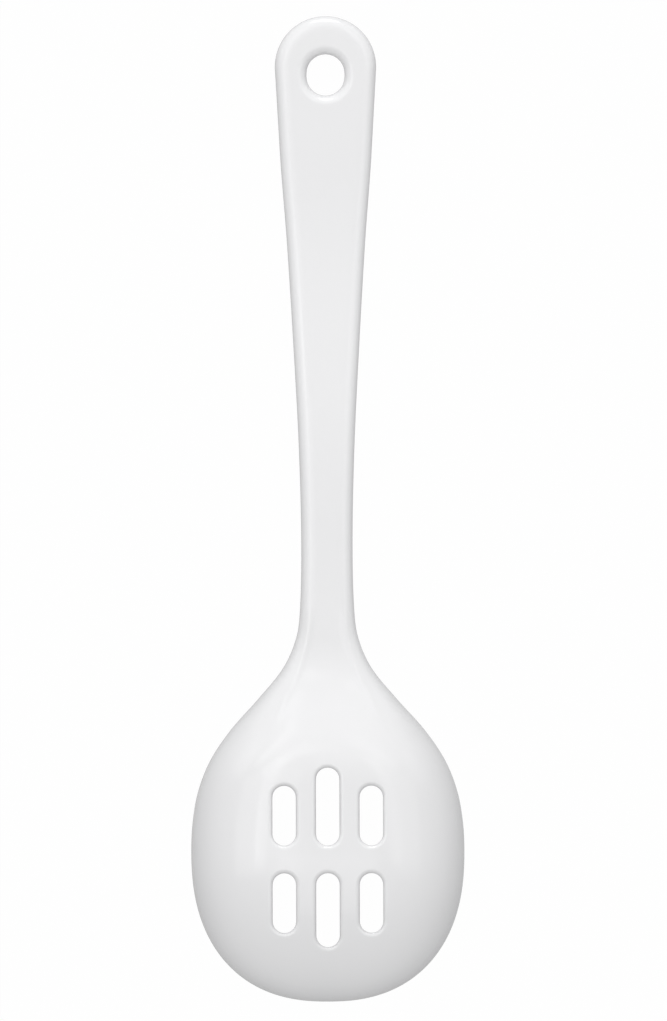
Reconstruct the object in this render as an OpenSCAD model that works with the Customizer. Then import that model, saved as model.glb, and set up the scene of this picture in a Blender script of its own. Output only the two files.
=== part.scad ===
// Slotted serving spoon, moulded in glossy white plastic.
// It lies face down on the rim of the bowl and the end of the handle, with the rounded back up.
// X runs across the spoon, Y from the tip of the bowl towards the end of the handle, and Z is up.
// The origin is on the table, under the middle of the spoon's length.
// The real spoon is one moulding, divided here at flat cross-sections into its four named stretches.
// Places along the spoon are lengths from the tip of the bowl.

/* [Spoon] */
// Length from the tip of the bowl to the end of the handle
spoon_l = 290; // [260:1:330]
// Height of the arch under the neck
arch_h = 5; // [2:0.5:8]

/* [Bowl] */
// Width of the bowl at its widest place
bowl_w = 80.7; // [65:0.1:95]
// Length of the bowl from its tip to the start of the neck
bowl_l = 114; // [100:1:130]
// Distance of the widest place from the tip of the bowl
crown_at = 44.5; // [38:0.5:52]
// Height of the bowl's rounded back above its rim
bowl_h = 22; // [16:0.5:28]
// Thickness of the wall at the crown
wall = 2.6; // [1.8:0.1:3.5]
// Thickness of the rounded rim
rim_t = 2.4; // [1.6:0.1:3.2]

/* [Slots] */
// Width of a slot
slot_w = 6.9; // [5:0.1:8]
// Distance between the middles of neighbouring slots
slot_pitch = 12.8; // [11:0.1:15]
// Length of the four side slots
side_slot_l = 17.6; // [12:0.1:20]
// Length of the middle slot on the neck's side
neck_slot_l = 22.9; // [16:0.1:26]
// Length of the middle slot on the tip's side
tip_slot_l = 21.8; // [16:0.1:25]
// Width of the bridge between the two rows of slots
slot_bridge = 8.1; // [5:0.1:12]
// Distance of the middle of the bridge from the tip of the bowl
slots_at = 42.1; // [38:0.1:46]

/* [Neck] */
// Width of the neck at its narrowest place, the middle of its length
neck_w = 15.4; // [12:0.1:19]
// Length of the neck
neck_l = 40; // [32:1:50]
// Thickness of the neck
neck_t = 7.5; // [6:0.1:9]
// Width of the soft upper edges of the neck and handle
edge_w = 5.2; // [4:0.1:7]

/* [Handle] */
// Width of the handle where its hanging end starts
handle_w = 27.3; // [23:0.1:29]

/* [Hanging end] */
// Width of the round end
end_w = 30.1; // [29.5:0.1:36]
// Length of the hanging end
end_l = 40; // [34:1:50]
// Thickness of the hanging end
end_t = 6.5; // [5:0.1:8]
// Diameter of the hanging hole
hole_d = 11.5; // [8:0.1:14]
// Distance of the middle of the hole from the end of the handle
hole_at = 17.7; // [14:0.1:20]
// Radius of the rounded edges of the hole
hole_round = 1.7; // [1:0.1:2.3]

/* [Hidden] */
$fn = 96;
plastic = [0.93, 0.935, 0.94];
overrun = 2;

// Rows and columns of the lofted surfaces
tip_rows = 10;
shoulder_rows = 18;
neck_rows = 6;
handle_rows = 12;
columns = 26;
lip_steps = 6;
edge_steps = 8;
arc_steps = 48;

// Places along the spoon
neck_mid = bowl_l + neck_l / 2;
neck_end = bowl_l + neck_l;
end_at = spoon_l - end_l;

// The outline seen from above: shares of the way from the widest place to the middle of the neck,
// and from there to the hanging end, with the share of the change in width still to come or done
shoulder_shares = [
    [0, 1], [0.1, 0.985], [0.2, 0.933], [0.3, 0.822], [0.4, 0.635], [0.5, 0.39],
    [0.6, 0.168], [0.7, 0.048], [0.8, 0.012], [1, 0]
];
flare_shares = [[0, 0], [0.25, 0.105], [0.5, 0.35], [0.77, 0.665], [1, 1]];
// Exponent of the bowl's rounded tip: 2 is an ellipse, more is squarer
bowl_n = 2.35;
// Exponents of the dome's cross-section and of the soft upper edges of the neck and handle
dome_n = 3.1;
edge_n = 3.5;

// Where each form starts and stops changing, as shares of the way from the widest place to the neck:
// the back falls, the edges of the neck rise beside it, and the hollow fills up
fall_shares = [0.25, 1];
edge_shares = [0.44, 0.66];
fill_shares = [0.4, 1];

function mix(a, b, k) = a + (b - a) * k;

// Change from 0 to 1 without a sudden bend at either end
function smooth(t) = let (c = min(max(t, 0), 1)) pow(c, 3) * (10 - 15 * c + 6 * c * c);

// Smooth curve through a table's points, with the steepness at both ends given
function slope_at(table, i, first, last) =
    i == 0 ? first
    : i == len(table) - 1 ? last
    : (table[i + 1][1] - table[i - 1][1]) / (table[i + 1][0] - table[i - 1][0]);

function curve(table, a, first, last, i = 0) =
    i < len(table) - 2 && a > table[i + 1][0] ? curve(table, a, first, last, i + 1)
    : let (
        step = table[i + 1][0] - table[i][0],
        t = (a - table[i][0]) / step,
        rise = table[i + 1][1] - table[i][1],
        start = slope_at(table, i, first, last),
        end = slope_at(table, i + 1, first, last)
    )
    table[i][1] + rise * t * t * (3 - 2 * t) + step * t * (1 - t) * ((1 - t) * start - t * end);

function blend(shares, s) =
    let (share = (s - crown_at) / (bowl_l - crown_at))
    smooth((share - shares[0]) / (shares[1] - shares[0]));

// Half the angle at which the sides of the hanging end close in, so that they run into its round end
end_r = end_w / 2;
end_centre = spoon_l - end_r;
side_run = end_centre - end_at;
end_taper = asin(end_r / norm([side_run, handle_w / 2])) - atan2(handle_w / 2, side_run);

// Half the width at a place past the bowl's widest one
function half_width(s) =
    s < neck_mid
    ? mix(neck_w, bowl_w, curve(shoulder_shares, (s - crown_at) / (neck_mid - crown_at), 0, 0)) / 2
    : let (
        run = end_at - neck_mid,
        last = tan(end_taper) * run / ((handle_w - neck_w) / 2)
    )
    mix(neck_w, handle_w, curve(flare_shares, (s - neck_mid) / run, 0, last)) / 2;

// Steepness of the outline there
function flank(s) = (half_width(s + wall / 2) - half_width(s - wall / 2)) / wall;

// Height of the underside, which leaves the table at the bowl's widest place and is back at the hanging end
function under_z(s) =
    s < neck_mid
    ? arch_h * smooth((s - crown_at) / (neck_mid - crown_at))
    : arch_h * smooth((end_at - s) / (end_at - neck_mid));

function thickness(s) = mix(neck_t, end_t, smooth((s - neck_mid) / (end_at - neck_mid)));

// Height of the back along the middle of the bowl
function back_z(s) = mix(bowl_h, under_z(s) + neck_t, blend(fall_shares, s));

// Height share of a rounded edge of some width, at a distance from the outline
function rounding(distance, width, n = 2) = sqrt(1 - pow(max(1 - distance / width, 0), n));

// Height share of the dome at a share of its half width
function dome(share) = sqrt(1 - pow(abs(share), dome_n));

// Place of row i of the bowl on an outline that lies an inset within the real one: half width, place
function bowl_place(i, inset) =
    i < tip_rows
    ? let (turn = 90 * i / tip_rows) [
        (bowl_w / 2 - inset) * pow(sin(turn), 2 / bowl_n),
        crown_at - (crown_at - inset) * pow(cos(turn), 2 / bowl_n)
    ]
    : let (s = bowl_row_at(i)) [half_width(s) - inset * norm([1, flank(s)]), s];

function bowl_row_at(i) = mix(crown_at, bowl_l, max(i - tip_rows, 0) / shoulder_rows);

// One closed cross-section of the bowl: over the back, round a lip, over the hollow, round the other lip
function bowl_loop(i) =
    let (
        s = bowl_row_at(i),
        fill = blend(fill_shares, s),
        edge = mix(rim_t, neck_t, fill) / 2,
        inner_edge = rim_t / 2 * (1 - fill),
        lip = edge + rim_t / 2,
        floor_z = under_z(s),
        outer = bowl_place(i, 0),
        inner = bowl_place(i, lip),
        swell = sqrt(1 - pow(1 - min(outer[1] / crown_at, 1), 2)),
        side_rise = neck_t / 2 * blend(edge_shares, s),
        rise = (back_z(s) - floor_z - edge - side_rise) * swell,
        hollow = (back_z(s) - floor_z - wall - rim_t / 2) * (1 - fill) * swell,
        back = [
            for (j = [columns:-1:0])
                let (
                    share = sin(mix(-90, 90, j / columns)),
                    distance = outer[0] * (1 - abs(share)) / norm([1, flank(s)]),
                    side = side_rise * rounding(distance, edge_w, edge_n)
                )
                [outer[0] * share, outer[1], floor_z + edge + side + rise * dome(share)]
        ],
        cavity = [
            for (j = [0:columns])
                let (share = sin(mix(-90, 90, j / columns)))
                [inner[0] * share, inner[1], floor_z + inner_edge + hollow * dome(share)]
        ],
        lip_points = [
            for (k = [1:lip_steps - 1])
                let (
                    turn = 180 * k / lip_steps,
                    inset = edge - (turn < 90 ? edge : rim_t / 2) * cos(turn),
                    place = bowl_place(i, inset)
                )
                [place[0], place[1], floor_z + (turn < 90 ? edge : inner_edge) * (1 - sin(turn))]
        ]
    )
    concat(
        back,
        [for (p = lip_points) [-p[0], p[1], p[2]]],
        cavity,
        [for (k = [lip_steps - 2:-1:0]) lip_points[k]]
    );

// One closed cross-section of the neck or handle: soft upper edges and round lower ones
function bar_loop(s) =
    let (
        half = half_width(s),
        edge = thickness(s) / 2,
        middle_z = under_z(s) + edge,
        across = [for (j = [0:columns]) half * sin(mix(-90, 90, j / columns))],
        upper = [for (x = across) [x, s, middle_z + edge * rounding(half - abs(x), edge_w, edge_n)]],
        lower = [for (x = across) [x, s, middle_z - edge * rounding(half - abs(x), edge)]]
    )
    concat([for (j = [columns:-1:0]) upper[j]], [for (j = [1:columns - 1]) lower[j]]);

function distinct(points, face) =
    let (a = points[face[0]], b = points[face[1]], c = points[face[2]])
    a != b && b != c && c != a;

// Solid through a row of closed loops. A first loop of no width needs no cap.
module loft(loops, first_cap = true) {
    count = len(loops[0]);
    points = [for (loop = loops) each loop];
    skin = [
        for (i = [0:len(loops) - 2], j = [0:count - 1])
            let (
                a = i * count + j,
                b = i * count + (j + 1) % count
            )
            each [[a, b, b + count], [a, b + count, a + count]]
    ];
    polyhedron(
        points,
        concat(
            [for (face = skin) if (distinct(points, face)) face],
            first_cap ? [[for (j = [count - 1:-1:0]) j]] : [],
            [[for (j = [0:count - 1]) len(points) - count + j]]
        )
    );
}

// Moves a solid that is built from the bowl's tip so that the middle of the spoon is over the origin
module placed() {
    translate([0, -spoon_l / 2, 0]) children();
}

// Upright prism with round ends that cuts one slot
module slot_cutter(x, low, high) {
    translate([x, 0, -overrun]) linear_extrude(bowl_h + 2 * overrun) {
        translate([-slot_w / 2, low + slot_w / 2]) square([slot_w, high - low - slot_w]);
        for (y = [low + slot_w / 2, high - slot_w / 2]) translate([0, y]) circle(d = slot_w);
    }
}

module slots() {
    upper = slots_at + slot_bridge / 2;
    lower = slots_at - slot_bridge / 2;
    for (column = [-1:1]) {
        slot_cutter(column * slot_pitch, upper, upper + (column == 0 ? neck_slot_l : side_slot_l));
        slot_cutter(column * slot_pitch, lower - (column == 0 ? tip_slot_l : side_slot_l), lower);
    }
}

// Shallow oval shell with a rounded rim, whose root fills up towards the neck
module bowl() {
    color(plastic) placed() difference() {
        loft([for (i = [0:tip_rows + shoulder_rows]) bowl_loop(i)], first_cap = false);
        slots();
    }
}

module neck() {
    rows = [for (i = [0:neck_rows]) mix(bowl_l, neck_end, i / neck_rows)];
    color(plastic) placed() loft([for (s = rows) bar_loop(s)]);
}

module handle() {
    rows = [for (i = [0:handle_rows]) mix(neck_end, end_at, i / handle_rows)];
    color(plastic) placed() loft([for (s = rows) bar_loop(s)]);
}

// Outline of the hanging end at a height and an inset: up one side, round the end and down the other
function end_loop(inset, z) =
    let (
        r = end_r - inset,
        corner_x = r / cos(end_taper) - side_run * tan(end_taper),
        turns = [for (k = [0:arc_steps]) mix(-end_taper, 180 + end_taper, k / arc_steps)]
    )
    concat(
        [[corner_x, -side_run, z]],
        [for (turn = turns) [r * cos(turn), r * sin(turn), z]],
        [[-corner_x, -side_run, z]]
    );

// Ring that rounds one edge of the hanging hole
module hole_edge_cutter() {
    rotate_extrude() difference() {
        square([hole_d / 2 + hole_round, hole_round]);
        translate([hole_d / 2 + hole_round, hole_round]) circle(hole_round);
    }
}

module hanging_end() {
    edge = end_t / 2;
    upper = [
        for (k = [edge_steps:-1:1])
            let (inset = edge_w * (1 - cos(90 * k / edge_steps)))
            end_loop(inset, edge + edge * rounding(inset, edge_w, edge_n))
    ];
    lower = [
        for (k = [0:edge_steps])
            let (inset = edge * (1 - cos(90 * k / edge_steps)))
            end_loop(inset, edge - edge * rounding(inset, edge))
    ];
    color(plastic) placed() difference() {
        translate([0, end_centre, 0]) loft(concat(upper, lower));
        translate([0, spoon_l - hole_at, 0]) {
            translate([0, 0, -overrun]) cylinder(h = end_t + 2 * overrun, d = hole_d);
            hole_edge_cutter();
            translate([0, 0, end_t]) mirror([0, 0, 1]) hole_edge_cutter();
        }
    }
}

bowl();
neck();
handle();
hanging_end();
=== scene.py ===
"""Looks of the slotted serving spoon: one glossy white moulding that lies face down on a white table.

The skins below are worked out in millimetres, with places along the spoon measured from the tip of its bowl.
They repeat the measures of the CAD source, with far finer sections, rounded openings, a faint crease over the
bowl's shoulder and continuous shading. The table, the lamps and the camera are in metres.
"""

import math

import bmesh
import bpy
import numpy as np
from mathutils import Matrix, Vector
from mathutils.geometry import delaunay_2d_cdt


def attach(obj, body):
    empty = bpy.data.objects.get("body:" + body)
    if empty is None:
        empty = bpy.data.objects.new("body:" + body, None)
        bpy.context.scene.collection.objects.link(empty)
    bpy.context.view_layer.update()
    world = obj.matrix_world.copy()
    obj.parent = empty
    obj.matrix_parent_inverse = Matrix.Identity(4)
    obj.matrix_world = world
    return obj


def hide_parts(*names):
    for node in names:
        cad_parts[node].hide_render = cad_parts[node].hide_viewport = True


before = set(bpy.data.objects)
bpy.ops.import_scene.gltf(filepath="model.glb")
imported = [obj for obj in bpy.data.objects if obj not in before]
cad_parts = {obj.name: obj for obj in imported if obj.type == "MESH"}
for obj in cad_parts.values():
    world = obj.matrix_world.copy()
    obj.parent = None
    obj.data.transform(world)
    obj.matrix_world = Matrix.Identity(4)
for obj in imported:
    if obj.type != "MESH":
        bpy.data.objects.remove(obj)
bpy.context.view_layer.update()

# The whole spoon, and how high its underside rises under the neck
SPOON_L = 290
ARCH_H = 5

# Bowl: its outline, its widest and highest place, its wall and its rounded rim
BOWL_W = 80.4
BOWL_L = 114
CROWN_AT = 44.5
BOWL_H = 22
WALL = 2.6
RIM_T = 2.4

# Slots: the bridge between the upper and the lower ones has its middle at SLOTS_AT, and all their mouths are
# rounded by SLOT_ROUND
SLOT_W = 6.9
SLOT_PITCH = 12.8
SIDE_SLOT_L = 17.6
NECK_SLOT_L = 22.9
TIP_SLOT_L = 21.8
SLOT_BRIDGE = 8.1
SLOTS_AT = 42.1
SLOT_ROUND = 1.3

# Neck, handle and hanging end, which share the width of their soft edges
NECK_W = 15.1
NECK_L = 40
NECK_T = 7.5
EDGE_W = 5.2
HANDLE_W = 27
END_W = 29.8
END_L = 40
END_T = 6.5

# Hanging hole, slightly oval: its middle is HOLE_AT from the end of the handle
HOLE_W = 11.2
HOLE_L = 12.2
HOLE_AT = 17.3
HOLE_ROUND = 2.8

# Where the stretches meet, the middle of the round end, and the angle at which its sides run out to it
NECK_MID = BOWL_L + NECK_L / 2
NECK_END = BOWL_L + NECK_L
END_AT = SPOON_L - END_L
END_CENTRE = SPOON_L - END_W / 2
SIDE_RUN = END_CENTRE - END_AT
END_TAPER = math.asin(END_W / 2 / math.hypot(SIDE_RUN, HANDLE_W / 2)) - math.atan2(HANDLE_W / 2, SIDE_RUN)

# Shares of the outline's change in width, from the bowl's widest place to the neck and on to the handle
SHOULDER = [
    (0, 1), (0.1, 0.985), (0.2, 0.933), (0.3, 0.822), (0.4, 0.635), (0.5, 0.39),
    (0.6, 0.168), (0.7, 0.048), (0.8, 0.012), (1, 0),
]
FLARE = [(0, 0), (0.25, 0.105), (0.5, 0.35), (0.77, 0.665), (1, 1)]

# How square the tip's outline, the dome's section and the soft edges are: 2 would be round
BOWL_N = 2.35
DOME_N = 3.1
EDGE_N = 3.5

# Shares of the way from the bowl's widest place to its root: over them its back falls to the neck, the
# neck's soft edges rise and the hollow fills up
FALL = (0.25, 1)
EDGES = (0.44, 0.66)
FILL = (0.4, 1)

# The faint crease in which the neck's soft edges run out over the shoulder: its height and width, the
# places where it comes up and dies away, and how far inside the outline it lies on the shoulder and neck
CREASE_H = 0.28
CREASE_W = 1.1
CREASE_FROM = (79, 88)
CREASE_TO = (108, 120)
CREASE_INSETS = (6.1, 2.9)

# How finely the skins are made: rows along, columns across, steps round the edges and openings, and with
# SIDE_STEP the longest step along an opening's straight sides
TIP_ROWS = 54
SHOULDER_ROWS = 66
NECK_ROWS = 30
HANDLE_ROWS = 60
COLUMNS = 112
LIP_STEPS = 12
EDGE_STEPS = 20
ROUND_STEPS = 8
ARC_STEPS = 14
SIDE_STEP = 1.2
END_SIDE_STEPS = 16
END_ARC_STEPS = 96

# Points over the hanging end's flat faces: their spacing, and as shares of it the place of the first row
# and the distance that is kept from the edges
FLAT_STEP = 2
FLAT_START = 0.7
FLAT_GAP = 0.6

# Where the slotted panels lie: the rows that they span, their share of the width, and their gap round a slot
PANEL_LOW = 11.5
PANEL_HIGH = 73
PANEL_SHARE = 0.64
PANEL_GAP = 0.5

# The kind of triangulation that leaves out what lies outside all its edges
INSIDE_EDGES = 1
# How far past its ends a stretch is worked out for its shading, and the step over which slopes are taken
PAST_END = 1
SLOPE_STEP = 0.02
# Points that agree to so many digits are one point, and no length below TINY counts
POINT_DIGITS = 5
TINY = 1e-6
MM_PER_M = 1000

# Plastic: the two colours that its clouds mix, its roughness, and what smudges and wear add to that
PLASTIC_DEEP = (0.798, 0.798, 0.806)
PLASTIC_PALE = (0.822, 0.822, 0.829)
PLASTIC_IOR = 1.5
ROUGHNESS = 0.1
SMUDGE_ROUGHNESS = 0.05
WEAR_ROUGHNESS = 0.08

# Relief of the plastic in metres, and the shares of it by which waves and grain rise and wear sinks in
RELIEF = 0.00001
WAVE_RISE = 2
GRAIN_RISE = 0.08
WEAR_DEPTH = 0.1

# Noises over the plastic. A squeeze draws one out along the turned axes, and the levels are those at which
# it starts to show and is whole.
CLOUD = {"scale": 22, "detail": 3}
SMUDGE = {"scale": 48, "detail": 4, "turn": 0.8, "levels": (0.42, 0.68)}
SCUFF = {"scale": 130, "detail": 3, "squeeze": (9, 0.5, 1), "turn": 0.35, "levels": (0.63, 0.72)}
SCRATCH = {"scale": 150, "detail": 2, "squeeze": (0.5, 11, 1), "turn": -0.2, "levels": (0.66, 0.74)}
WAVE = {"scale": 30, "detail": 0}
GRAIN = {"scale": 1500, "detail": 1}

# Table: half its side, its matt colour, how much of it the camera sees as a plain glow, and how much of that
# glow the plastic mirrors
TABLE_HALF = 4
TABLE_MATT = (0.3, 0.3, 0.3)
TABLE_GLOW = 0.99
TABLE_MIRRORED = 0.42

# Light from all round, and soft boxes that face the spoon: the distance and two sizes of the boxes, and for
# each its compass bearing from the end of the handle, its height in degrees, its size and its watts
ROOM_LIGHT = 0.665
LAMP_AWAY = 3
BOX = (1.2, 1.2)
STRIP = (1.6, 0.4)
LAMPS = [
    ("top_low_strip", 0, 12, STRIP, 17.0),
    ("top_strip", 0, 20, STRIP, 15.0),
    ("top_high_strip", 0, 28, STRIP, 3.9),
    ("top_left_strip", 325, 50, STRIP, 1.7),
    ("top_left_high_strip", 325, 65, STRIP, 1.8),
    ("top_right_strip", 35, 58, STRIP, 1.3),
    ("left_low_box", 300, 28, BOX, 2.4),
    ("right_low_box", 65, 28, BOX, 1.3),
    ("left_strip", 290, 70, STRIP, 1.9),
    ("right_strip", 70, 70, STRIP, 1.6),
    ("top_left_box", 315, 60, BOX, 1.6),
    ("top_right_box", 45, 60, BOX, 1.2),
    ("left_box", 270, 55, BOX, 3.6),
    ("left_high_box", 270, 75, BOX, 3.2),
    ("right_box", 90, 55, BOX, 2.2),
    ("lower_box", 180, 75, BOX, 2.9),
]

# Camera, which looks straight down: its height, the height of what it sees, the middle of that and its turn
# in degrees. The sensor alone is in millimetres.
CAMERA_HEIGHT = 8
VIEW_HEIGHT = 0.30057
VIEW_MIDDLE = (0.00197, -0.00046)
VIEW_TURN = 0.174
SENSOR_H = 36


def mix(a, b, k):
    return a + (b - a) * k


def smooth(t):
    """Change from 0 to 1 without a sudden bend at either end."""
    c = min(max(t, 0), 1)
    return c ** 3 * (10 - 15 * c + 6 * c * c)


def curve(table, a, first, last):
    """Smooth curve through a table's points, with the steepness at both ends given."""
    i = 0
    while i < len(table) - 2 and a > table[i + 1][0]:
        i += 1

    def slope(k):
        if k == 0:
            return first
        if k == len(table) - 1:
            return last
        return (table[k + 1][1] - table[k - 1][1]) / (table[k + 1][0] - table[k - 1][0])

    step = table[i + 1][0] - table[i][0]
    rise = table[i + 1][1] - table[i][1]
    t = (a - table[i][0]) / step
    hermite = t * t * (3 - 2 * t)
    return table[i][1] + rise * hermite + step * t * (1 - t) * ((1 - t) * slope(i) - t * slope(i + 1))


def blend(stretch, s):
    """Change from 0 to 1 over a stretch of the way from the bowl's widest place to its root."""
    share = (s - CROWN_AT) / (BOWL_L - CROWN_AT)
    return smooth((share - stretch[0]) / (stretch[1] - stretch[0]))


def half_width(s):
    """Half the width at a place past the bowl's widest one."""
    if s < NECK_MID:
        return mix(NECK_W, BOWL_W, curve(SHOULDER, (s - CROWN_AT) / (NECK_MID - CROWN_AT), 0, 0)) / 2
    run = END_AT - NECK_MID
    last = math.tan(END_TAPER) * run / ((HANDLE_W - NECK_W) / 2)
    return mix(NECK_W, HANDLE_W, curve(FLARE, (s - NECK_MID) / run, 0, last)) / 2


def lean(s):
    """How much longer a way across the spoon is than the straight way in from its outline."""
    if s < CROWN_AT:
        return 1
    return math.hypot(1, (half_width(s + WALL / 2) - half_width(s - WALL / 2)) / WALL)


def place(s, inset):
    """Half width and place along of an outline that lies inside the real one by an inset."""
    if s >= CROWN_AT:
        return half_width(s) - inset * lean(s), s
    along = (CROWN_AT - s) / CROWN_AT
    swell = math.sqrt(max(1 - along ** BOWL_N, 0))
    return (BOWL_W / 2 - inset) * swell ** (2 / BOWL_N), CROWN_AT - (CROWN_AT - inset) * along


def outline_at(s, inset):
    """Half width of such an outline at a place, and the share of its height that the dome has there."""
    if s >= CROWN_AT:
        return place(s, inset)[0], 1
    along = min((CROWN_AT - s) / (CROWN_AT - inset), 1)
    return (BOWL_W / 2 - inset) * (1 - along ** BOWL_N) ** (1 / BOWL_N), math.sqrt(1 - along ** 2)


def under_z(s):
    """Height of the underside: it rises from the table to the arch under the neck and comes down again."""
    if s < NECK_MID:
        return ARCH_H * smooth((s - CROWN_AT) / (NECK_MID - CROWN_AT))
    return ARCH_H * smooth((END_AT - s) / (END_AT - NECK_MID))


def thickness(s):
    """Thickness of the moulding where it is solid, which lessens from the neck to the hanging end."""
    return mix(NECK_T, END_T, smooth((s - NECK_MID) / (END_AT - NECK_MID)))


def back_z(s):
    """Height of the back along the middle of the spoon."""
    return mix(BOWL_H, under_z(s) + thickness(s), blend(FALL, s))


def edge_r(s):
    """Radius of the moulding's rounded outer edge, from the rim's to the neck's."""
    return mix(RIM_T, thickness(s), blend(FILL, s)) / 2


def rounding(distance, width, power):
    """Height share of a rounded edge of some width, at a distance from the outline."""
    return math.sqrt(1 - max(1 - distance / width, 0) ** power)


def dome(share):
    """Height share of the dome at a share of its half width."""
    return math.sqrt(1 - share ** DOME_N)


def crease(distance, s):
    """Height of the faint crease at a distance from the outline."""
    start, whole = CREASE_FROM
    fading, end = CREASE_TO
    if not start < s < end:
        return 0
    height = CREASE_H * smooth((s - start) / (whole - start)) * smooth((end - s) / (end - fading))
    shoulder_inset, neck_inset = CREASE_INSETS
    # It draws in towards the neck's edge, fast at first
    inset = mix(neck_inset, shoulder_inset, ((end - s) / (end - whole)) ** 3)
    return height * math.exp(-(((distance - inset) / CREASE_W) ** 2))


def back_height(x, s):
    """Height of the back at any point: the lip, the soft edges and the crease, and the dome between them."""
    half, swell = outline_at(s, 0)
    share = min(abs(x) / half, 1) if half else 1
    side = thickness(s) / 2 * blend(EDGES, s)
    rise = (back_z(s) - under_z(s) - edge_r(s) - side) * swell
    distance = (half - min(abs(x), half)) / lean(s)
    edge = side * rounding(distance, EDGE_W, EDGE_N)
    return under_z(s) + edge_r(s) + edge + crease(distance, s) + rise * dome(share)


def face_height(x, s):
    """Height of the face side at any point: the hollow under the bowl, and the flat underside past it."""
    filled = blend(FILL, s)
    half, swell = outline_at(s, edge_r(s) + RIM_T / 2)
    share = min(abs(x) / half, 1) if half else 1
    hollow = (back_z(s) - under_z(s) - WALL - RIM_T / 2) * (1 - filled) * swell
    return under_z(s) + RIM_T / 2 * (1 - filled) + hollow * dome(share)


def section(s):
    """One closed cross-section: over the back, round the left lip, over the face and round the right lip."""
    edge = edge_r(s)
    inner_edge = RIM_T / 2 * (1 - blend(FILL, s))
    shares = [math.sin(math.pi * (0.5 - j / COLUMNS)) for j in range(COLUMNS + 1)]
    lip = []
    for k in range(1, LIP_STEPS):
        turn = math.pi * k / LIP_STEPS
        outside = k < LIP_STEPS / 2
        inset = edge - (edge if outside else RIM_T / 2) * math.cos(turn)
        z = under_z(s) + (edge if outside else inner_edge) * (1 - math.sin(turn))
        lip.append((*place(s, inset), z))
    outer, outer_s = place(s, 0)
    inner, inner_s = place(s, edge + RIM_T / 2)
    return (
        [(outer * share, outer_s, back_height(outer * share, outer_s)) for share in shares]
        + [(-x, y, z) for x, y, z in lip]
        + [(-inner * share, inner_s, face_height(inner * share, inner_s)) for share in shares]
        + lip[::-1]
    )


def slopes(height, x, y):
    """Steepness of a height field across and along the spoon."""
    across = (height(x + SLOPE_STEP, y) - height(x - SLOPE_STEP, y)) / (2 * SLOPE_STEP)
    along = (height(x, y + SLOPE_STEP) - height(x, y - SLOPE_STEP)) / (2 * SLOPE_STEP)
    return across, along


def surrounds(ring, spot):
    """Whether a ring without hollows, which runs against the clock, goes round a spot."""
    return all((ring[i] - ring[i - 1]).cross(spot - ring[i - 1]) > 0 for i in range(len(ring)))


def put(name, data):
    """A new object in the scene."""
    thing = bpy.data.objects.new(name, data)
    bpy.context.collection.objects.link(thing)
    return thing


class Skin:
    """Points, normals and faces of one closed piece, in millimetres."""

    def __init__(self):
        self.points = []
        self.normals = []
        self.faces = []
        self.caps = []
        self.known = {}

    def add(self, points, normals):
        """Numbers of the points, each of which is kept once."""
        ids = []
        for point, normal in zip(points, normals):
            key = tuple(round(float(c), POINT_DIGITS) for c in point)
            if key not in self.known:
                self.known[key] = len(self.points)
                self.points.append(Vector(point))
                self.normals.append(Vector(normal))
            ids.append(self.known[key])
        return ids

    def bridge(self, line, other, closed=True):
        """Row of quads between two lines of as many points. Where points coincide, they become triangles."""
        for i in range(len(line) if closed else len(line) - 1):
            k = (i + 1) % len(line)
            corners = dict.fromkeys((line[i], line[k], other[k], other[i]))
            if len(corners) > 2:
                self.faces.append(tuple(corners))

    def cap(self, ring):
        """Flat end face, which keeps its own normal."""
        self.caps.append(len(self.faces))
        self.faces.append(tuple(ring))

    def panel(self, border, openings, inside):
        """Triangles between a border and the rings of its openings, laid out in plan over points inside."""
        ids = []
        edges = []
        for ring in (border, *openings):
            first = len(ids)
            ids += ring
            edges += [(first + i, first + (i + 1) % len(ring)) for i in range(len(ring))]
        ids += inside
        plan = [self.points[i].xy for i in ids]
        triangles, same = delaunay_2d_cdt(plan, edges, [], INSIDE_EDGES, TINY)[2:4]
        rings = [[self.points[i].xy for i in ring] for ring in openings]
        for triangle in triangles:
            corners = [same[corner][0] for corner in triangle]
            middle = sum((plan[i] for i in corners), Vector((0, 0))) / 3
            if not any(surrounds(ring, middle) for ring in rings):
                self.faces.append(tuple(ids[i] for i in corners))

    def make(self, name):
        """The Blender object, in metres and placed as the CAD is, with these normals kept for its shading."""
        used = sorted({corner for face in self.faces for corner in face})
        number = {old: new for new, old in enumerate(used)}
        middle = Vector((0, SPOON_L / 2, 0))
        points = [(self.points[i] - middle) / MM_PER_M for i in used]
        mesh = bpy.data.meshes.new(name)
        mesh.from_pydata(points, [], [[number[corner] for corner in face] for face in self.faces])
        form = bmesh.new()
        form.from_mesh(mesh)
        bmesh.ops.recalc_face_normals(form, faces=form.faces)
        form.to_mesh(mesh)
        form.free()
        for face in mesh.polygons:
            face.use_smooth = face.index not in self.caps
        corners = [self.normals[used[corner.vertex_index]] for corner in mesh.loops]
        for index in self.caps:
            face = mesh.polygons[index]
            for corner in face.loop_indices:
                corners[corner] = face.normal.copy()
        mesh.normals_split_custom_set(corners)
        return put(name, mesh)


def loft(skin, stations, before, after):
    """Rows of points through the sections at the stations.

    The places before and after them only steady the shading.
    """
    loops = np.array([section(s) for s in (before, *stations, after)])
    along = loops[2:] - loops[:-2]
    across = (np.roll(loops, -1, 1) - np.roll(loops, 1, 1))[1:-1]
    normals = np.cross(along, across)
    lengths = np.linalg.norm(normals, axis=2, keepdims=True)
    normals = np.divide(normals, lengths, out=np.zeros_like(normals), where=lengths > TINY)
    return [skin.add(loop, row) for loop, row in zip(loops[1:-1], normals)]


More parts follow.
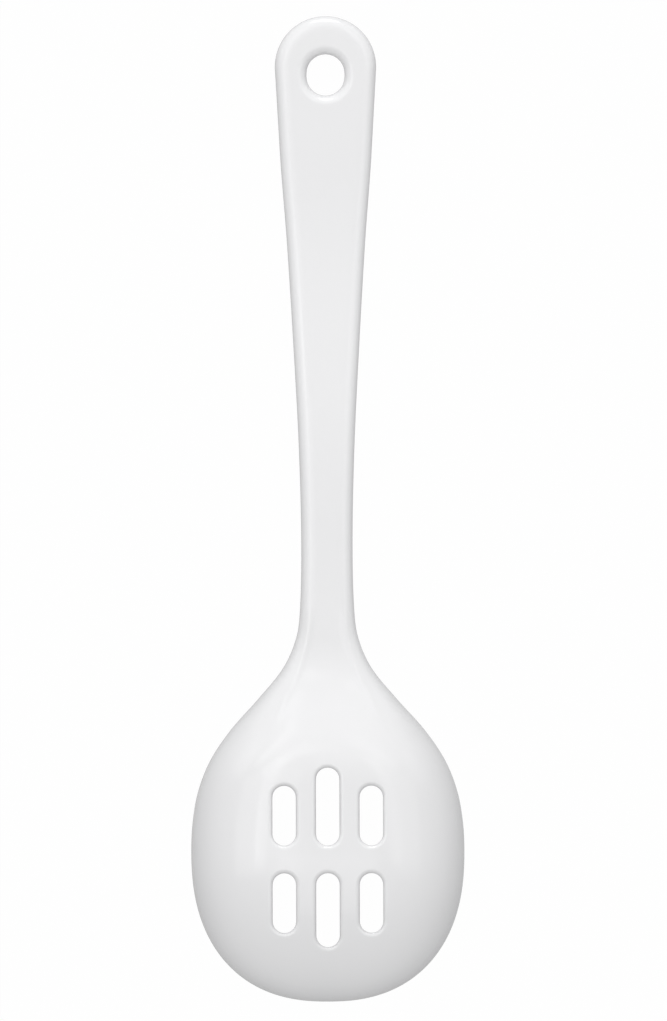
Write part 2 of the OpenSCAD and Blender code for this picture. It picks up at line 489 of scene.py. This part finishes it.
def slot_plan(x, low, high, width, outset):
    """Points and outward directions round a slot with round ends, seen from above."""
    radius = width / 2
    steps = math.ceil((high - low - width) / SIDE_STEP)
    plan = []
    for start, end, first in ((high - radius, low + radius, 0), (low + radius, high - radius, math.pi)):
        for k in range(ARC_STEPS + 1):
            turn = first + math.pi * k / ARC_STEPS
            out = Vector((math.cos(turn), math.sin(turn)))
            plan.append((Vector((x, start)) + out * (radius + outset), out))
        out = Vector((-math.cos(first), 0))
        for k in range(1, steps):
            plan.append((Vector((x, mix(start, end, k / steps))) + out * (radius + outset), out))
    return plan


def cut_opening(skin, x, low, high, width, edge, top, bottom):
    """Wall of an opening with both mouths rounded. Gives its rings on the upper and the lower surface."""
    rings = []
    for height, up in ((top, 1), (bottom, -1)):
        side = []
        for k in range(ROUND_STEPS + 1):
            turn = math.pi / 2 * k / ROUND_STEPS
            points = []
            normals = []
            for spot, out in slot_plan(x, low, high, width, edge * (1 - math.sin(turn))):
                slope_x, slope_y = slopes(height, *spot)
                drop = up * edge * (1 - math.cos(turn))
                points.append((*spot, height(*spot) - drop))
                level = Vector((-slope_x * up, -slope_y * up, up)) * math.cos(turn)
                normals.append((level - Vector((*out, 0)) * math.sin(turn)).normalized())
            side.append(skin.add(points, normals))
        rings += side if up == 1 else side[::-1]
    for ring, other in zip(rings, rings[1:]):
        skin.bridge(ring, other)
    return rings[0], rings[-1]


def near_slot(point, x, low, high, width, gap):
    """Whether a point seen from above is inside a slot or nearer to it than a gap."""
    y = min(max(point.y, low + width / 2), high - width / 2)
    return math.hypot(point.x - x, point.y - y) < width / 2 + gap


def bowl_slots():
    """Place across, lower end and upper end of each slot, with the longer ones in the middle."""
    upper = SLOTS_AT + SLOT_BRIDGE / 2
    lower = SLOTS_AT - SLOT_BRIDGE / 2
    slots = []
    for column in (-1, 0, 1):
        slots.append((column * SLOT_PITCH, upper, upper + (SIDE_SLOT_L if column else NECK_SLOT_L)))
        slots.append((column * SLOT_PITCH, lower - (SIDE_SLOT_L if column else TIP_SLOT_L), lower))
    return slots


def tip_station(turn):
    """Place along the spoon of the outline's point at a turn round the bowl's tip."""
    stretched = (math.cos(turn) ** BOWL_N + math.sin(turn) ** BOWL_N) ** (1 / BOWL_N)
    return CROWN_AT * (1 - math.cos(turn) / stretched)


def make_bowl():
    """The shell's rows of quads, with two panels of triangles, over and under, where the slots go through."""
    skin = Skin()
    stations = [tip_station(math.pi / 2 * i / TIP_ROWS) for i in range(TIP_ROWS)]
    stations += [mix(CROWN_AT, BOWL_L, i / SHOULDER_ROWS) for i in range(SHOULDER_ROWS + 1)]
    rows = loft(skin, stations, stations[0], BOWL_L + PAST_END)

    first_row = next(i for i, s in enumerate(stations) if s > PANEL_LOW)
    last_row = next(i for i, s in enumerate(stations) if s > PANEL_HIGH)
    margin = math.ceil(COLUMNS * (0.5 - math.asin(PANEL_SHARE) / math.pi))
    face_first = COLUMNS + LIP_STEPS
    spans = [(margin, COLUMNS - margin), (face_first + margin, face_first + COLUMNS - margin)]
    for i, (row, other) in enumerate(zip(rows, rows[1:])):
        for j in range(len(row)):
            k = (j + 1) % len(row)
            panelled = first_row <= i < last_row and any(low <= j < high for low, high in spans)
            if not panelled:
                skin.bridge((row[j], row[k]), (other[j], other[k]), closed=False)

    slots = bowl_slots()
    rings = [cut_opening(skin, *slot, SLOT_W, SLOT_ROUND, back_height, face_height) for slot in slots]

    def is_clear(point):
        gap = SLOT_ROUND + PANEL_GAP
        return not any(near_slot(skin.points[point], *slot, SLOT_W, gap) for slot in slots)

    for side, (low, high) in enumerate(spans):
        block = [row[low:high + 1] for row in rows[first_row:last_row + 1]]
        between = block[1:-1]
        up_one_side = [row[-1] for row in between]
        down_the_other = [row[0] for row in between[::-1]]
        border = block[0] + up_one_side + block[-1][::-1] + down_the_other
        inside = [point for row in between for point in row[1:-1] if is_clear(point)]
        skin.panel(border, [ring[side] for ring in rings], inside)
    skin.cap(rows[-1])
    return skin.make("spoon_bowl")


def make_stretch(name, first, last, steps):
    """A stretch of the neck or handle between two flat cross-sections."""
    skin = Skin()
    stations = [mix(first, last, i / steps) for i in range(steps + 1)]
    rows = loft(skin, stations, first - PAST_END, last + PAST_END)
    for row, other in zip(rows, rows[1:]):
        skin.bridge(row, other)
    skin.cap(rows[0])
    skin.cap(rows[-1])
    return skin.make(name)


def end_edge():
    """The hanging end's edge, from its underside to its flat face: insets, heights and normals across it."""
    half = END_T / 2
    profile = []
    for k in range(EDGE_STEPS):
        turn = math.pi / 2 * (1 - k / EDGE_STEPS)
        out = math.cos(turn)
        down = math.sin(turn)
        profile.append((half * (1 - out), half * (1 - down), out, -down))
    for k in range(EDGE_STEPS + 1):
        inset = EDGE_W * (1 - math.cos(math.pi / 2 * k / EDGE_STEPS))
        share = rounding(inset, EDGE_W, EDGE_N)
        out = half * EDGE_N * (1 - inset / EDGE_W) ** (EDGE_N - 1) / (2 * EDGE_W)
        length = math.hypot(out, share)
        profile.append((inset, half * (1 + share), out / length, share / length))
    return profile


def end_side(y, inset):
    """Half width of the hanging end's tapering part, inside its outline by an inset."""
    return (END_W / 2 - inset) / math.cos(END_TAPER) - (END_CENTRE - y) * math.tan(END_TAPER)


def end_outline():
    """Points round the hanging end from one side to the other.

    Each comes with the way that it faces and the way out along which its insets are measured.
    """
    end_r = END_W / 2
    tilt = Vector((math.cos(END_TAPER), -math.sin(END_TAPER)))
    level = Vector((1 / math.cos(END_TAPER), 0))
    join_y = END_CENTRE - (end_r - EDGE_W) * math.sin(END_TAPER)
    side = []
    for k in range(END_SIDE_STEPS):
        y = mix(END_AT, join_y, k / END_SIDE_STEPS)
        side.append((Vector((end_side(y, 0), y)), tilt, level))
    outline = list(side)
    for k in range(END_ARC_STEPS + 1):
        turn = mix(-END_TAPER, math.pi + END_TAPER, k / END_ARC_STEPS)
        out = Vector((math.cos(turn), math.sin(turn)))
        outline.append((Vector((0, END_CENTRE)) + out * end_r, out, out))
    mirror = Vector((-1, 1))
    return outline + [(spot * mirror, out * mirror, reach * mirror) for spot, out, reach in side[::-1]]


def flat_spots(inset, hole):
    """Points over a flat face of the hanging end, inside its outline by an inset and clear of the hole."""
    margin = FLAT_STEP * FLAT_GAP
    spots = []
    for i in range(int(END_L / FLAT_STEP)):
        y = END_AT + FLAT_STEP * (i + FLAT_START)
        over = max(y - END_CENTRE, 0)
        round_half = math.sqrt(max((END_W / 2 - inset) ** 2 - over ** 2, 0))
        half = min(end_side(y, inset), round_half) - margin
        count = int(2 * half / FLAT_STEP)
        xs = [mix(-half, half, j / count) for j in range(count + 1)] if count > 0 else []
        row = [Vector((x, y)) for x in xs]
        spots += [spot for spot in row if not near_slot(spot, *hole, HOLE_W, HOLE_ROUND + margin)]
    return spots


def make_hanging_end():
    """Flat end with a soft edge along its tapering sides and round end, and a hole with rounded mouths."""
    skin = Skin()
    lines = []
    for spot, out, reach in end_outline():
        points = [(*(spot - reach * inset), z) for inset, z, away, up in end_edge()]
        normals = [(*(out * away), up) for inset, z, away, up in end_edge()]
        lines.append(skin.add(points, normals))
    for line, other in zip(lines, lines[1:]):
        skin.bridge(line, other, closed=False)

    hole = (0, SPOON_L - HOLE_AT - HOLE_L / 2, SPOON_L - HOLE_AT + HOLE_L / 2)
    rings = cut_opening(skin, *hole, HOLE_W, HOLE_ROUND, lambda x, y: END_T, lambda x, y: 0)
    for end, ring, z, inset, up in ((-1, rings[0], END_T, EDGE_W, 1), (0, rings[1], 0, END_T / 2, -1)):
        spots = flat_spots(inset, hole)
        inside = skin.add([(*spot, z) for spot in spots], [(0, 0, up)] * len(spots))
        skin.panel([line[end] for line in lines], [ring], inside)
    skin.cap(lines[0] + lines[-1][::-1])
    return skin.make("spoon_hanging_end")


class Value:
    """A number that varies over a surface. Sums written with it add the maths nodes."""

    def __init__(self, finish, socket):
        self.finish = finish
        self.socket = socket

    def combine(self, operation, other):
        sockets = {0: self, 1: other}
        return self.finish.add("ShaderNodeMath", {"operation": operation}, sockets)["Value"]

    def __add__(self, other):
        return self.combine("ADD", other)

    def __sub__(self, other):
        return self.combine("SUBTRACT", other)

    def __mul__(self, other):
        return self.combine("MULTIPLY", other)

    def larger(self, other):
        return self.combine("MAXIMUM", other)


class Made:
    """A node that is made: its outputs are read by name."""

    def __init__(self, finish, node):
        self.finish = finish
        self.node = node

    def __getitem__(self, name):
        return Value(self.finish, self.node.outputs[name])


class Finish:
    """A material and its nodes."""

    def __init__(self, name):
        self.material = bpy.data.materials.new(name)
        self.material.use_nodes = True
        self.nodes = self.material.node_tree.nodes
        self.nodes.clear()

    def feed(self, socket, value):
        if isinstance(value, Value):
            self.material.node_tree.links.new(value.socket, socket)
        else:
            socket.default_value = value

    def add(self, kind, settings, sockets):
        """A node of a type, with its settings first and then the values or links of its sockets."""
        node = self.nodes.new(kind)
        for name, value in settings.items():
            setattr(node, name, value)
        for name, value in sockets.items():
            self.feed(node.inputs[name], value)
        return Made(self, node)

    def output(self, shader):
        self.add("ShaderNodeOutputMaterial", {}, {"Surface": shader})
        return self.material


def white_plastic():
    """Glossy moulded plastic with faint clouds, waves and grain, and the smudges and wear of use."""
    finish = Finish("glossy_white_plastic")
    position = finish.add("ShaderNodeTexCoord", {}, {})["Object"]

    def noise(scale, detail, squeeze=(1, 1, 1), turn=0, levels=None):
        """Noise over the piece. With levels it is 0 below the first and 1 above the second."""
        mapping = {"Vector": position, "Rotation": (0, 0, turn), "Scale": squeeze}
        at = finish.add("ShaderNodeMapping", {}, mapping)["Vector"]
        value = finish.add("ShaderNodeTexNoise", {}, {"Vector": at, "Scale": scale, "Detail": detail})["Fac"]
        if levels is None:
            return value
        sockets = {"Value": value, "From Min": levels[0], "From Max": levels[1]}
        return finish.add("ShaderNodeMapRange", {"clamp": True}, sockets)["Result"]

    cloud = noise(**CLOUD)
    smudge = noise(**SMUDGE)
    scuff = noise(**SCUFF)
    scratch = noise(**SCRATCH)
    wave = noise(**WAVE)
    grain = noise(**GRAIN)
    colour = finish.add(
        "ShaderNodeMix",
        {"data_type": "RGBA"},
        {"Factor": cloud, "A": (*PLASTIC_DEEP, 1), "B": (*PLASTIC_PALE, 1)},
    )["Result"]
    relief = wave * WAVE_RISE + grain * GRAIN_RISE - scuff * WEAR_DEPTH - scratch * WEAR_DEPTH
    bump = finish.add(
        "ShaderNodeBump", {}, {"Strength": 1, "Distance": RELIEF, "Height": relief}
    )["Normal"]
    roughness = smudge * SMUDGE_ROUGHNESS + scuff * WEAR_ROUGHNESS + scratch * WEAR_ROUGHNESS + ROUGHNESS
    shader = finish.add(
        "ShaderNodeBsdfPrincipled",
        {},
        {"Base Color": colour, "Roughness": roughness, "IOR": PLASTIC_IOR, "Normal": bump},
    )["BSDF"]
    return finish.output(shader)


def white_table():
    """White ground: the camera sees it glow, and the plastic mirrors that glow more weakly.

    The rest of it is matt, takes a very faint shadow and throws light back up at the spoon.
    """
    finish = Finish("white_table")
    path = finish.add("ShaderNodeLightPath", {}, {})
    seen = path["Is Camera Ray"].larger(path["Is Glossy Ray"] * TABLE_MIRRORED)
    seen = seen.larger(path["Is Transmission Ray"])
    matt = finish.add("ShaderNodeBsdfDiffuse", {}, {"Color": (*TABLE_MATT, 1)})["BSDF"]
    glow = finish.add("ShaderNodeEmission", {}, {"Color": (1, 1, 1, 1), "Strength": 1})["Emission"]
    mixed = finish.add("ShaderNodeMixShader", {}, {0: seen * TABLE_GLOW, 1: matt, 2: glow})["Shader"]
    return finish.output(mixed)


def lamp(name, bearing, height, size, watts):
    """Soft box that faces the middle of the spoon, with its longer side level."""
    light = bpy.data.lights.new(name, "AREA")
    light.shape = "RECTANGLE"
    light.size, light.size_y = size
    light.energy = watts
    turn = math.radians(bearing)
    rise = math.radians(height)
    towards = Vector((math.sin(turn) * math.cos(rise), math.cos(turn) * math.cos(rise), math.sin(rise)))
    holder = put(name, light)
    holder.location = towards * LAMP_AWAY
    holder.rotation_euler = (-towards).to_track_quat("-Z", "Y").to_euler()


bowl = make_bowl()
neck = make_stretch("spoon_neck", BOWL_L, NECK_END, NECK_ROWS)
handle = make_stretch("spoon_handle", NECK_END, END_AT, HANDLE_ROWS)
hanging_end = make_hanging_end()

plastic = white_plastic()
for piece, node in ((bowl, "bowl"), (neck, "neck"), (handle, "handle"), (hanging_end, "hanging_end")):
    piece.data.materials.append(plastic)
    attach(piece, "root")
    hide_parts(node)

table_mesh = bpy.data.meshes.new("table")
table_corners = [(x * TABLE_HALF, y * TABLE_HALF, 0) for x, y in ((-1, -1), (1, -1), (1, 1), (-1, 1))]
table_mesh.from_pydata(table_corners, [], [(0, 1, 2, 3)])
table_mesh.materials.append(white_table())
table = put("table", table_mesh)

for setting in LAMPS:
    lamp(*setting)

scene = bpy.context.scene
scene.view_settings.view_transform = "Standard"
scene.world = bpy.data.worlds.new("studio")
scene.world.use_nodes = True
background = scene.world.node_tree.nodes["Background"]
background.inputs["Color"].default_value = (1, 1, 1, 1)
background.inputs["Strength"].default_value = ROOM_LIGHT

camera_data = bpy.data.cameras.new("camera")
camera_data.sensor_fit = "VERTICAL"
camera_data.sensor_height = SENSOR_H
camera_data.lens = SENSOR_H * CAMERA_HEIGHT / VIEW_HEIGHT
camera = put("camera", camera_data)
camera.location = (*VIEW_MIDDLE, CAMERA_HEIGHT)
camera.rotation_euler = (0, 0, math.radians(-VIEW_TURN))
scene.camera = camera
